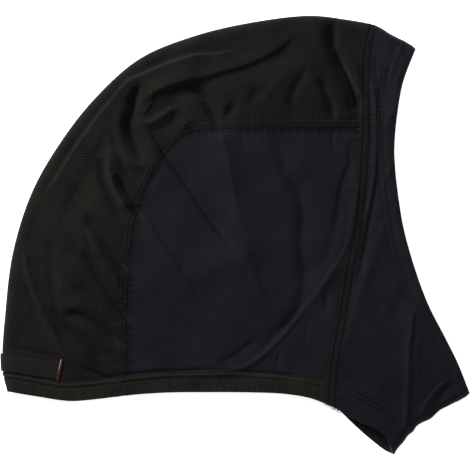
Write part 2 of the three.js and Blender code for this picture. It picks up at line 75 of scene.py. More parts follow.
crownSections = [  # fold x, y and seam x, y, from the neck edge to the forehead
    (-136.2, -93.9, -67.2, -98), (-139.5, -79, -67.2, -72), (-137.8, -46.2, -67, -46), (-133.2, -10.2, -65.4, -17.4),
    (-121.8, 25.8, -61.2, 13.2), (-103.8, 57, -52.8, 34.2), (-82.8, 83.4, -43.2, 50), (-57, 105.9, -32, 61.5),
    (-24.6, 119.4, -16, 65.3), (11.4, 127.8, 14, 66), (45, 131.6, 45, 66.3), (66, 129.4, 66, 66.5),
    (85.2, 125.4, 86, 66.6)]
foreheadFold = [(93.6, 120.4), (100.2, 117), (108.3, 111.4)]
faceSections = [  # seam x, y and edge x, y, from the forehead to the chin
    (83.4, 130.2, 108.3, 111.4), (78.9, 115.2, 104.6, 102.6), (77.4, 99, 100.8, 92), (77.4, 78.6, 97.5, 75),
    (76.8, 51, 95.4, 50), (75, 24, 97.4, 26), (72, 0, 101.2, 3), (67.8, -21, 108, -21), (64.2, -43.8, 115.6, -41.4),
    (60, -67.8, 125.4, -60.6), (57.6, -85.8, 133.2, -76.2), (57, -108, 140.7, -94.8)]
bandSections = [  # top x, y and low x, y, from the nape to the jaw
    (-146, -80.8, -136.2, -93.9), (-122, -84.8, -118.2, -96.8), (-103.8, -88.2, -99, -99.4),
    (-87, -87.4, -82.2, -98.2), (-67.8, -85.2, -64.2, -96), (-48, -82.8, -42, -94.4), (-16.2, -81.8, -16.2, -94.1),
    (12, -82.1, 12, -94.3), (33, -83.7, 30, -95.2), (49.8, -87, 46, -98), (61.8, -90, 61.6, -104.6)]
jawUpper = [(66, -107.2), (71.5, -110.4), (77, -113.2), (83, -115.8), (89, -120.2), (92.6, -125.4), (95.1, -131.6)]
jawLower = [(68.4, -110.9), (76, -118), (83.6, -124.4), (90.3, -129.4), (95.1, -131.6)]
chinFold = [
    (140.7, -94.8), (134.7, -98.9), (128.1, -102.5), (123.3, -104.9), (120.6, -107.3), (117.3, -110.3),
    (112.5, -112.5), (109, -114.7), (106.9, -118), (103.7, -120), (101, -123.9), (97.7, -127.5), (95.1, -131.6)]

# Folds of the upper wall: rise (below zero in a hollow), width left and right, roundness, x and y of the points
creases = {
    "rimCrest": (2.7, 1.3, 14, 1.5, [-123, 13.5, -118.5, 20, -113.5, 24.5, -108, 32, -100, 45, -90.5, 59, -81, 72,
        -73, 81.5, -66.5, 89.5, -62, 93, -54, 96.5, -44.5, 100.5, -32, 105, -22.5, 107.5, -13, 108, -3, 109.5,
        4, 111.5]),
    "rimGroove": (-0.5, 2.8, 1.1, 1.8, [-119.5, 21, -115, 25.5, -109.5, 32.5, -101.5, 45.5, -91.5, 60, -82, 72.5,
        -74, 82.5, -67.5, 90.5, -62.5, 94.5, -54.5, 97.5, -45, 102, -32.5, 106.5, -22.5, 109, -13, 109.5, -3.5, 111,
        3.5, 113]),
    "rimTop": (1.7, 1.3, 7, 1.6, [-64.5, 90.5, -54, 96.5, -44.5, 100.5, -32, 105, -22.5, 107.5, -13, 108, -3, 109.5,
        6.5, 112.5]),
    "rimInner": (-1.5, 8, 3.5, 1.6, [-70, 74.5, -72, 70, -76, 60, -83, 47, -89, 36, -95.5, 25, -100, 15.5, -104.5, 6,
        -106, -3.5]),
    "sweepRoll": (1.7, 2, 6, 1.6, [36, 123.5, 33, 118, 27, 112.5, 19, 108, 11, 104, 1.5, 100.5, -9.5, 97.5, -19, 94.5,
        -27, 93, -35.5, 91, -45.5, 87, -52, 82.5, -56, 78]),
    "sweepHollow": (-1.4, 5, 2, 1.8, [38, 122, 35, 116.5, 28.5, 110.5, 20, 105.5, 12, 101.5, 2.5, 98, -9, 95,
        -18.5, 92, -26.5, 90.5, -33.5, 89.5]),
    "sweepFaint": (-0.6, 2, 1.6, 1.8, [39.5, 111, 30, 106.5, 20.5, 102.5]),
    "pocket": (2.4, 7, 2.4, 1.8, [-58, 70, -57, 76.5, -53.5, 82, -48, 86, -41, 89, -34.5, 91, -28.5, 92.5, -21, 94.5,
        -12.5, 96.5]),
    "lip": (2.4, 1.5, 3, 1.7, [-60, 77, -59, 72, -57, 68.5, -53.5, 67, -49.5, 68, -45.5, 70.5, -41.5, 73, -39, 75,
        -36.5, 75.5, -34.5, 74, -33.5, 71]),
    "lipHollow": (-3, 7.5, 1.5, 1.7, [-57.5, 77.5, -56.5, 71.5, -54, 69.5, -50.5, 70.5, -46.5, 72.5, -43, 75,
        -39.5, 77.5, -36, 78, -32.5, 77, -27.5, 74.5]),
    "pocketCorner": (-2.6, 2.8, 4, 1.8, [-45.5, 82.5, -39.5, 84.5, -33.5, 86, -28.5, 86.5, -24.5, 85.5, -21.5, 82.5,
        -19.5, 77.5]),
    "underLip": (-1.4, 4, 2.4, 1.8, [-32.5, 76.5, -33.5, 72, -37, 67.5, -42.5, 64, -49, 63, -55, 64]),
    "patchRise": (1.9, 4, 3, 1.8, [-37, 59, -32, 64.5, -28, 67.5, -21.5, 70]),
    "hookSide": (-4.2, 5.5, 3.1, 1.8, [-58.5, 92.5, -59, 87.5, -61, 81.5, -62, 75.5, -63, 70, -63, 64.5, -61, 58,
        -58.5, 52.5, -54.5, 43]),
    "hookLow": (-5.2, 3.6, 2.7, 1.8, [-64.5, 75.5, -65, 69.5, -64.5, 62.5, -61.5, 55.5, -59, 50.5, -55.5, 45,
        -51.5, 39]),
    "hookEdge": (-4, 1.8, 2.8, 1.8, [-56, 93, -57.5, 88, -59, 83, -60.5, 78, -60.5, 73, -59.5, 69, -57.5, 65.5]),
    "earValley": (-1.5, 6, 1.7, 1.5, [-51.5, 66, -49.5, 61.5, -46.5, 56, -42, 48.5, -36, 39.5, -29.5, 31.5, -23, 22,
        -17, 12.5, -10, 3, -3.5, -5.5, 3, -14]),
    "earBroad": (-3.2, 13, 12, 1.3, [-49.5, 64.5, -35.5, 40, -26.5, 25.5, -17.5, 12.5, -7.5, -2, 5, -20]),
    "earCorner": (-1.3, 1.6, 1.6, 1.8, [-51.5, 65, -49.5, 61, -47, 56, -43, 50, -39, 44]),
    "backRidge": (3.6, 5, 2, 1.8, [-75.5, 56.5, -75.5, 49.5, -75, 41, -74, 34, -71, 26.5]),
    "backRidgeLow": (4.2, 2.2, 2.2, 1.8, [-74.5, 39, -73, 32, -70, 25.5, -65.5, 19, -60, 14.5]),
    "backHollow": (-2.8, 2.4, 3, 1.8, [-80.5, 48, -79.5, 38, -77, 27.5, -73, 19.5, -69, 13, -64, 7]),
    "backHollow2": (-2.3, 2.4, 2.2, 1.8, [-74, 61.5, -72, 55.5, -69, 47.5, -67, 41.5, -64, 36.5, -60.5, 31]),
    "backHollow3": (-3.2, 1.9, 2, 1.8, [-71.5, 37, -68.5, 31.5, -66.5, 27, -63.5, 22.5, -61, 18.5, -58, 14.5,
        -55, 10]),
    "backRidge2": (1.8, 2, 2.6, 1.8, [-71.5, 58, -69.5, 52, -66, 46.5, -61.5, 42.5, -55.5, 41.5, -49.5, 43.5]),
    "seamRise": (0.7, 4, 3.4, 1.8, [-61.5, 21, -57, 29, -52, 36, -47, 42.5, -41, 47.5]),
    "backRidge4": (1.2, 1.6, 1.4, 1.8, [-65.5, 35, -61.5, 29, -56.5, 25]),
    "lowHollow": (-3.4, 2.8, 3, 1.8, [-91, 14, -85, 5.5, -79.5, -1.5, -74.5, -8.5, -68.5, -16.5, -63, -23.5]),
    "lowRidge2": (1.2, 2.2, 2, 1.8, [-89, 6, -86, -0.5, -81.5, -8, -76, -16.5]),
    "lowHollow2": (-0.9, 2.2, 1.8, 1.8, [-91, 1.5, -88.5, -3.5, -85, -12]),
    "earFoldTop": (-6.6, 6, 2.5, 1.8, [-32, 93, -27, 91, -23, 87, -19.5, 83, -16, 77, -13, 71, -10, 65, -6, 57.5]),
    "earFold": (2.6, 8, 4.6, 1.25, [-16, 76, -11.5, 67.5, -8.5, 60.5, -5.5, 52.5, -3.5, 41.5, -1.5, 29.5, 1, 17.5,
        4, 6.5, 7.5, -5, 11, -16.5, 15.5, -27.5]),
    "earFoldLow": (1.2, 1.3, 4, 1.7, [-2.5, 18.5, 1.5, 6.5, 3.5, -1.5, 6.5, -8, 8, -15, 8.5, -22]),
    "earFoldEnd": (0.7, 1.4, 3, 1.7, [8, -17, 10.5, -21.5, 13, -27.5, 15.5, -32.5, 19.5, -39.5]),
    "backStrip": (1.44, 2.2, 6, 1.6, [-58, 15, -52.5, 8, -46, -3.5, -36.5, -18, -29.5, -28.5, -22.5, -39,
        -18.5, -45.5]),
    "backStrip2": (-0.9, 2, 5, 1.6, [-49.5, -30, -46, -35, -38, -46.5, -29.5, -56.5, -20, -69]),
    "cheekRidge": (1, 3.2, 1.7, 1.7, [73, 40, 73.5, 29.5, 72, 17, 70.5, 8.5, 69, -2, 64, -13.5, 57, -23.5, 50.5, -33,
        42, -43.5, 34, -54, 25.5, -63.5, 18.5, -70.5, 11.5, -75.5, 3.5, -80, -3.5, -82, -13.5, -82.5, -23.5, -81,
        -32.5, -77.5]),
    "seamHollow2": (-0.95, 6, 1.7, 1.8, [71.5, 63, 71, 58.5, 68.5, 50, 68.5, 42.5, 66, 35.5, 63, 26, 61.5, 16.5,
        60, -1.5]),
    "cheekInner": (-0.63, 3.5, 3, 1.8, [62, 17.5, 59, 1.5, 55, -13, 47.5, -23.5]),
    "templeHollow": (-1.9, 7, 4.2, 1.7, [22, 63, 24.5, 56, 28, 46.5, 31.5, 38, 36.5, 29.5, 40, 20, 41, 10, 40, 1,
        39.5, -6, 40, -10.5, 41.5, -16, 41.5, -25, 40.5, -35, 38, -44.5, 33, -52, 26.5, -58, 19.5, -63.5, 14, -68]),
    "templeRidge": (0.3, 4, 4, 1.8, [25, 56.5, 33.5, 38.5, 43.5, 19.5, 45.5, 5.5, 45.5, -9.5, 44, -24.5]),
    "seamHollow": (-0.6, 1.8, 1.2, 1.8, [57, 65, 57.5, 61, 58.5, 55, 60, 46.5]),
    "jawCrease": (-0.65, 3, 1.6, 1.8, [54, -28.5, 54.5, -37, 54, -43, 51.5, -51]),
    "jawCrease2": (-0.6, 2, 2, 1.8, [43, -49, 43, -65.5]),
    "jawCrease3": (-0.6, 1.4, 1.2, 1.8, [27.5, -66.5, 25.5, -75, 24.5, -82]),
    "ridgeFoot": (-0.3, 1.8, 1.2, 1.8, [43.5, -44.5, 37, -53.5, 33.5, -58, 25, -67.5, 17, -74.5, 10.5, -80.5]),
    "seamDark": (-0.99, 3, 3, 1.8, [71.5, 6.5, 69.5, -3.5, 66.5, -11.5, 60.5, -21.5]),
    "topCrease": (-0.4, 1.8, 1.6, 1.8, [3.5, 62.5, 5, 55, 7.5, 48.5]),
    "topCrease2": (-0.3, 1.6, 1.4, 1.8, [10.5, 62.5, 12.5, 55.5, 14, 51.5]),
    "bandHollow": (-0.8, 1.8, 3, 1.8, [-12, -77.5, -8, -76.5, -1.5, -73, 5, -68, 11.5, -64, 15.5, -62]),
    "browHollow": (-6, 2.6, 4.4, 1.9, [58, 131, 58.5, 120.5, 59, 113, 61.5, 106, 65.5, 98, 69, 89.5, 72, 82,
        72.5, 73.5, 72.5, 67.5]),
    "browHollowLow": (-4.6, 2.2, 2.6, 1.9, [59.5, 111.5, 62, 105.5, 65.5, 97.5, 69.5, 89, 72, 81.5, 72.5, 72.5]),
    "browRidge": (0.8, 1.8, 1.7, 1.8, [65, 115.5, 68, 109, 71.5, 101, 74, 94.5, 74.5, 86.5, 73, 76.5, 68, 71,
        63.5, 72.5, 59.5, 76.5]),
    "browHollow2": (-3.13, 2.3, 2.99, 1.9, [50, 96.5, 52.5, 90.5, 54.5, 85.5, 57, 79.5, 58.5, 72.5, 59, 66.5]),
    "frontHollow": (-2.12, 2.99, 3.45, 1.8, [43, 104, 41, 96, 37, 89.5, 34.5, 84, 34.5, 78.5, 37, 71]),
    "frontRidge": (1, 3.4, 3.4, 1.8, [35, 104.5, 27.5, 93.5, 19.5, 83.5, 13, 73.5]),
    "topHollow": (-3.2, 3.2, 3.2, 1.9, [1, 81.5, -1.5, 76, -4, 71.5, -6, 64.5]),
    "topHollow2": (-1.6, 3, 3, 1.8, [15.5, 90.5, 11, 83, 6, 75.5]),
    "napeRidge": (1.6, 3, 1.7, 1.8, [-127, -3, -125, -16.5, -123.5, -24.5, -120.5, -34, -115.5, -45.5, -111, -55,
        -106, -64.5, -101.5, -72.5, -97, -79.5]),
    "napeDark": (-1, 3.4, 2.6, 1.8, [-111, 3, -110, -16.5, -109, -33, -107, -44, -105, -58.5, -101, -67.5,
        -96.5, -74.5]),
    "napeDark2": (-1, 2, 2.4, 1.8, [-125.5, -27, -123, -37, -121, -43, -117, -52.5]),
    "napeCrease": (-3.7, 2.5, 4.2, 1.9, [-106, -52, -102, -49, -98, -47.5, -93, -48, -87.5, -50.5, -81.5, -54,
        -76.5, -58.5, -71, -62.5, -64.5, -68.5]),
    "napeRise": (1, 2.2, 2.2, 1.8, [-101, -40.5, -90.5, -41, -81.5, -44.5, -73.5, -50.5]),
    "napeCrease2": (-3, 3.4, 2.4, 1.8, [-105.5, -50.5, -100.5, -55, -96.5, -59, -90, -64.5, -83.5, -70.5,
        -75.5, -78]),
    "napeRise2": (0.7, 2.6, 2.6, 1.8, [-96.5, -52.5, -86.5, -59, -79.5, -65.5, -73.5, -72.5]),
    "napeCrease3": (-2.7, 2.8, 2.7, 1.8, [-92, -8.5, -85, -18.5, -80.5, -26.5, -75, -34.5, -69.5, -42.5,
        -62.5, -52.5]),
    "napeRise3": (1.7, 2.4, 2.8, 1.8, [-81, -13, -75.5, -19, -70.5, -26.5, -67.5, -34]),
    "napeFaint": (-0.8, 1.6, 1.8, 1.8, [-100, -32, -93, -33, -86, -38]),
    "napeTuck": (-1.7, 1.4, 1.7, 1.8, [-94.5, -78, -87, -81.5, -80.5, -84, -70, -86.5]),
    "labelHollow": (-0.7, 1.4, 1.2, 1.8, [-139.5, -66.5, -128.5, -68.5, -116.5, -71, -103.5, -73.5]),
    "bandGroove": (-1, 1.3, 1, 1.8, [-101, -86.5, -92.5, -87, -80.5, -86, -70, -84.5, -56.5, -83, -44.5, -82,
        -32.5, -81.5, -20.5, -81, -8.5, -81.5, 3.5, -82, 15.5, -83, 27.5, -84, 39.5, -86, 52.5, -89]),
    "faceFlute": (0.8, 2.2, 1.6, 1.8, [79.5, 99, 81.5, 91.5, 83.5, 82, 84.5, 71, 85, 61, 84.5, 51, 83, 32, 80, 16.5,
        77.5, -3.5]),
    "faceGroove": (-0.65, 1.76, 1.76, 1.8, [86, 90.5, 87, 82, 87.5, 71, 87, 62.5, 87, 53.5, 86.5, 45, 85, 32,
        82.5, 17.5, 79, -2.5]),
    "faceStreak": (-0.4, 1.4, 1.2, 1.8, [83.5, 110.5, 84.5, 98.5, 85.5, 88]),
    "faceStreak2": (-0.42, 1.6, 1.4, 1.8, [93.5, 107, 91, 96.5, 89, 85.5]),
    "hemPleat": (0.5, 2, 1.6, 1.8, [98, 80.5, 94, 72.5, 90.5, 65, 88.5, 56.5]),
    "hemPleat2": (0.5, 2, 1.6, 1.8, [97, 50.5, 94, 42.5, 91, 35, 88.5, 25.5]),
    "hemPleat3": (0.4, 2, 1.6, 1.8, [99.5, 25.5, 96.5, 15.5, 94.5, 5]),
    "hemPleat4": (0.45, 2, 1.6, 1.8, [102.5, 101, 98, 94, 94.5, 85.5]),
    "cheekFlute": (0.6, 3.6, 3.2, 1.8, [92.5, 14, 86.5, -2, 81.5, -17, 76.5, -32, 73, -41.5, 69, -55, 66.5, -65,
        65.5, -76.5]),
    "cheekGroove": (-0.8, 1.98, 1.87, 1.8, [81, 17, 80, 8.5, 78.5, -4.5, 76, -17, 73, -29]),
    "cheekFlute2": (0.48, 3, 3, 1.8, [101, -26, 96, -33.5, 91.5, -43.5, 88.5, -53]),
    "jawFlute": (1.04, 1.3, 1.5, 1.8, [108, -41.5, 106.5, -46.5, 105.5, -58, 104, -71, 104, -85, 103.5, -98,
        102.5, -111.5, 101.5, -122]),
    "jawGroove": (-0.25, 1.4, 1.2, 1.8, [109, -43, 107.5, -54.5, 107, -61.5, 106, -71, 107, -85, 107, -98,
        105.5, -111.5]),
    "jawFlute2": (0.4, 1.3, 1.3, 1.8, [110, -57.5, 108.5, -72.5, 108.5, -90.5, 107, -105.5]),
    "jawBroad": (0.9, 11, 2.4, 1.5, [106.5, -41.5, 105.5, -54.5, 104.5, -69.5, 104, -87.5, 103.5, -106.5]),
    "chinRidge": (0.9, 2, 1.4, 1.8, [128.5, -83.5, 127, -86.5, 123.5, -90.5, 120.5, -93.5, 115.5, -100, 111.5, -108.5,
        109, -114]),
    "chinPocket": (-1, 3, 3.4, 1.8, [131, -87, 126.5, -93, 123.5, -97.5, 118.5, -105, 115, -111]),
    "chinRidge2": (0.48, 2, 2, 1.8, [137, -89, 132.5, -97.5, 126.5, -103]),
    "foreheadPleat": (-0.54, 1.8, 1.6, 1.8, [93.5, 118, 95, 112, 97.5, 105.5]),
    "foreheadPleat2": (-0.48, 1.6, 1.5, 1.8, [100.5, 115, 102.5, 109.5, 104, 103.5]),
    "foreheadRoll": (0.6, 1.5, 1.5, 1.8, [89, 122.5, 94.5, 118.5, 100.5, 115.5]),
}
faceStitch = [
    (90.9, 101.1), (89.7, 92.1), (87.3, 76.5), (87.3, 50.7), (88.5, 30.9), (91.5, 10.5), (93.3, -3.3), (96.3, -15.3),
    (101.1, -29.1), (106.5, -40.5), (113.1, -53.1), (118.5, -66.3), (124.5, -77.1), (127.5, -86.1), (130.5, -96.3)]
jawStitch = {
    1: [(64, -90.8), (69, -93.6), (74, -96.2), (80, -99.6), (85.5, -103.1), (91, -107.3), (95.8, -112)],
    -1: [(64, -94.3), (69, -97), (76, -101.5), (84, -107.5), (90, -112.5), (94.3, -117.4)]}


def evenly(steps):  # shares from 0 to 1
    return np.linspace(0, 1, steps + 1)


def curveThrough(points, step=1.5, between=24):  # centripetal Catmull-Rom, as close even points
    points = np.array(points, float)
    ends = [2 * points[0] - points[1], *points, 2 * points[-1] - points[-2]]
    t = np.linspace(0, 1, between, endpoint=False)[:, None]
    pieces = []
    for p0, p1, p2, p3 in zip(ends, ends[1:], ends[2:], ends[3:]):
        d0, d1, d2 = (max(np.linalg.norm(b - a), 1e-6) ** 0.5 for a, b in ((p0, p1), (p1, p2), (p2, p3)))
        start = ((p1 - p0) / d0 - (p2 - p0) / (d0 + d1) + (p2 - p1) / d1) * d1
        end = ((p2 - p1) / d1 - (p3 - p1) / (d1 + d2) + (p3 - p2) / d2) * d1
        bend, twist = 3 * (p2 - p1) - 2 * start - end, 2 * (p1 - p2) + start + end
        pieces.append(p1 + start * t + bend * t ** 2 + twist * t ** 3)
    dense = np.vstack([*pieces, points[-1:]])
    count = math.ceil(lengthOf(dense) / step)
    return walk(dense, evenly(count))


def lengthOf(curve):
    return np.linalg.norm(np.diff(curve, axis=0), axis=1).sum()


def runningLength(curve):  # from its start to each of its points
    return np.concatenate([[0], np.cumsum(np.linalg.norm(np.diff(curve, axis=0), axis=1))])


def walk(curve, shares):  # points at these shares of the curve's length
    sums = runningLength(curve)
    goal = np.asarray(shares) * sums[-1]
    return np.stack([np.interp(goal, sums, curve[:, k]) for k in range(curve.shape[1])], axis=-1)


def offset(curve, distance):  # to the left of the run where it is above zero
    run = np.gradient(curve, axis=0)
    run /= np.linalg.norm(run, axis=1)[:, None]
    return curve + distance * np.stack([-run[:, 1], run[:, 0]], axis=1)


def bothSides(curve, distance):
    return offset(curve, distance), offset(curve, -distance)


def crossing(a, b):  # how far along a, in steps, it first crosses b
    runA, runB = np.diff(a, axis=0)[:, None], np.diff(b, axis=0)[None]
    away = b[None, :-1] - a[:-1, None]
    cross = lambda p, q: p[..., 0] * q[..., 1] - p[..., 1] * q[..., 0]
    alongA, alongB = cross(away, runB) / cross(runA, runB), cross(away, runA) / cross(runA, runB)
    i, j = np.argwhere((alongA >= 0) & (alongA <= 1) & (alongB >= 0) & (alongB <= 1))[0]
    return i + alongA[i, j]


def cut(curve, start, end, apart=0.05):  # between its crossings with two others; None is its own end
    a = 0 if start is None else crossing(curve, start)
    b = len(curve) - 1 if end is None else crossing(curve, end)
    low, high = min(a, b), max(a, b)
    at = [low, *[i for i in range(len(curve)) if low + apart < i < high - apart], high]
    part = np.stack([np.interp(at, range(len(curve)), curve[:, k]) for k in (0, 1)], axis=1)
    return part if a < b else part[::-1]


def patch(left, right, start, end, u, v):  # a Coons patch: a grid of points for the shares u and v
    u, v = np.asarray(u)[:, None, None], np.asarray(v)[None, :, None]
    l, r = walk(left, u[:, 0, 0])[:, None], walk(right, u[:, 0, 0])[:, None]
    s, e = walk(start, v[0, :, 0])[None], walk(end, v[0, :, 0])[None]
    corners = (1 - u) * ((1 - v) * left[0] + v * right[0]) + u * ((1 - v) * left[-1] + v * right[-1])
    return (1 - v) * l + v * r + (1 - u) * s + u * e - corners


def nearest(curve, points):  # distance, share of the curve and side of its run, for each point
    best = np.full(len(points), 1e9)
    share, side = np.zeros(len(points)), np.zeros(len(points))
    for i, (a, b) in enumerate(zip(curve[:-1], curve[1:])):
        run, away = b - a, points - a
        along = np.clip(away @ run / (run @ run), 0, 1)
        away = away - along[:, None] * run
        distance = np.hypot(away[:, 0], away[:, 1])
        closer = distance < best
        best[closer] = distance[closer]
        share[closer] = (i + along[closer]) / (len(curve) - 1)
        side[closer] = np.sign(run[0] * away[closer, 1] - run[1] * away[closer, 0])
    return best, share, side


crownRows, faceRows, bandRows = map(np.array, (crownSections, faceSections, bandSections))
crownFold = curveThrough([*crownRows[:, :2], *foreheadFold])
throatFold = curveThrough(chinFold)
crownLine, frontLine = curveThrough(crownRows[:, 2:]), curveThrough(faceRows[:, :2])
faceEdge, bandTop = curveThrough(faceRows[:, 2:]), curveThrough(bandRows[:, :2])
neckEdge = {side: curveThrough([*bandRows[:, 2:], *jaw]) for side, jaw in ((1, jawUpper), (-1, jawLower))}
creaseCurves = {name: curveThrough(np.reshape(row[4], (-1, 2)), 2) for name, row in creases.items()}

halfCrown, halfFront = form["crownSeam"] / 2, form["frontSeam"] / 2
seamOverCrown, seamOverSide = bothSides(crownLine, halfCrown)
crownAtSeam, sideAtSeam = bothSides(crownLine, halfCrown + form["seamGap"])
frontOverFace, frontOverSide = bothSides(frontLine, halfFront)
faceAtFront, sideAtFront = bothSides(frontLine, halfFront + form["seamGap"])
panelAtBand, bandAtPanel = bothSides(bandTop, form["bandGap"])


# The heights of the two walls: a fold's bump is left out where its exponent is past cutAt

fading = {"cutAt": 4.5, "length": 9, "widths": 3, "leastShare": 0.15, "mostShare": 0.5}
gathers = {"height": 0.12, "reach": 3.5, "power": 1.5, "onSeam": 0.3,
           "period": 4.3, "bend": 1.5, "bendLength": 5, "slowShare": 0.6, "slowPeriod": 7.1}
# slow waves: height, then the length, the bend and the bend's length for x and for y
waves = [(0.3, 6.1, 1.4, 9.3, 7.7, 1.1, 11), (0.06, 2.3, 1.7, 3.9, 2.9, 1.5, 4.3)]
labelBed = {"middle": [(-150, -74.7), (-105.9, -80.9)], "half": 7.5, "slope": 7.5}
labelLift = thick["label"] + form["gap"]


def swell(t):
    return 1 - np.exp(-t * t)


def smoothStep(t):
    return t * t * (3 - 2 * t)


def ridge(place, middle, width):
    return np.exp(-((place - middle) / width) ** 2)


def creaseHeight(points):
    total = np.zeros(len(points))
    for name, (rise, left, right, power, _) in creases.items():
        curve, widest = creaseCurves[name], max(left, right)
        reach = fading["cutAt"] ** (1 / power) * widest
        near = ((points > curve.min(axis=0) - reach) & (points < curve.max(axis=0) + reach)).all(axis=1)
        if near.any():
            distance, share, side = nearest(curve, points[near])
            across = np.exp(-(distance / np.where(side > 0, left, right)) ** power)
            taper = max(fading["length"], fading["widths"] * widest) / lengthOf(curve)
            taper = min(max(taper, fading["leastShare"]), fading["mostShare"])
            total[near] += rise * smoothStep(np.clip(np.minimum(share, 1 - share) / taper, 0, 1)) * across
    return total


def puckers(points):  # the small gathers beside the seams
    total = np.zeros(len(points))
    for line, half in ((crownLine[::2], halfCrown), (frontLine[::2], halfFront)):
        distance, share, _ = nearest(line, points)
        along = share * lengthOf(line)
        bend = gathers["bend"] * np.sin(along / gathers["bendLength"])
        wave = np.sin(2 * np.pi * along / gathers["period"] + bend)
        wave += gathers["slowShare"] * np.sin(2 * np.pi * along / gathers["slowPeriod"])
        away = np.exp(-(np.maximum(distance - half, 0) / gathers["reach"]) ** gathers["power"])
        total += gathers["height"] * wave * away * np.clip(distance / half, gathers["onSeam"], 1)
    return total


def unevenness(points):  # all over, so that no part is quite flat
    x, y = points[:, 0], points[:, 1]
    total = np.zeros(len(points))
    for height, lengthX, bendX, bendLengthX, lengthY, bendY, bendLengthY in waves:
        waveX = np.sin(x / lengthX + bendX * np.sin(y / bendLengthX))
        total += height * waveX * np.sin(y / lengthY + bendY * np.sin(x / bendLengthY))
    return total


def toFold(points, step=1):
    return np.minimum(nearest(crownFold[::step], points)[0], nearest(throatFold, points)[0])


def upperHeight(points):
    mouth = np.minimum(nearest(faceEdge[::3], points)[0], nearest(neckEdge[1][::3], points)[0])
    middle = form["mouthHeight"] + (form["fullHeight"] - form["mouthHeight"]) * swell(mouth / form["mouthSwell"])
    rise = (middle - form["foldHeight"]) * swell(toFold(points, 2) / form["foldSwell"])
    return form["foldHeight"] + rise + creaseHeight(points) + puckers(points) + unevenness(points)


def lowerHeight(points):  # flat but for the label between the cloth and the floor
    away = nearest(np.array(labelBed["middle"]), points)[0] - labelBed["half"]
    return labelLift * (1 - smoothStep(np.clip(away / labelBed["slope"], 0, 1)))


def clothAt(plan, side):  # points of the wall's outer face over plan points; side is 1 or -1 for each
    flat, sides = plan.reshape(-1, 2), np.broadcast_to(side, plan.shape[:-1]).reshape(-1)
    height = np.zeros(len(flat))
    for which, function in ((1, upperHeight), (-1, lowerHeight)):
        on = sides == which
        if on.any():
            height[on] = function(flat[on])
    fold = toFold(flat)
    cosine = 1 - np.clip(np.where(fold < form["onFold"], 0, fold) / form["turn"], 0, 1)
    sine = np.sqrt(1 - cosine ** 2)
    z = form["foldHeight"] / 2 + (height - form["foldHeight"] / 2) * sine
    return np.column_stack([flat, z]).reshape(*plan.shape[:-1], 3)


def unit(vectors):
    return vectors / (np.linalg.norm(vectors, axis=-1, keepdims=True) + 1e-12)


def facing(points, side, ring=False):  # the outward normals of a grid of points
    if ring:
        padded = np.concatenate([points[-1:], points, points[:1]])
        du, dv = np.gradient(padded, axis=0)[1:-1], np.gradient(points, axis=1)
    else:
        du, dv = np.gradient(points, axis=0), np.gradient(points, axis=1)
    normal = unit(np.cross(du, dv))
    return normal * np.sign((normal[..., 2] * np.broadcast_to(side, points.shape[:-1])).sum())


def fromFold(steps, turnSteps, length):  # shares from the fold line, close together where the cloth turns
    turned = form["turn"] / length
    turning = (1 - np.cos(np.linspace(0, math.pi / 2, turnSteps, endpoint=False))) * turned
    return np.concatenate([turning, np.linspace(turned, 1, steps - turnSteps + 1)])


def overFold(steps, length):  # up the upper wall, over the fold, down the lower wall
    up, down = (fromFold(steps[wall], steps["turn"], length) for wall in ("upper", "lower"))
    up, down = up[::-1], down[1:]
    return np.concatenate([up, down]), np.repeat([1, -1], [len(up), len(down)])


# Meshes from grids

meshing = {"smoothBelow": 48, "threadEnd": 0.35, "slopeStep": 0.3}


def makeObject(name, vertices, faces, uvs=None):
    mesh = bpy.data.meshes.new(name)
    mesh.from_pydata((vertices * mm).tolist(), [], faces)
    if uvs is not None:
        layer = mesh.uv_layers.new(name="clothMap")
        layer.data.foreach_set("uv", (uvs * mm).astype(np.float32).ravel())
    mesh.update()
    thing = newObject(name, mesh)
    bpy.ops.object.select_all(action="DESELECT")
    thing.select_set(True)
    bpy.context.view_layer.objects.active = thing
    bpy.ops.object.shade_smooth_by_angle(angle=math.radians(meshing["smoothBelow"]))
    return thing


def dress(thing, material, node=None):  # its slot, look and body, and the CAD piece that it stands for
    thing.data.materials.append(material)
    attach(thing, "root")
    if node:
        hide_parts(node)
    return thing


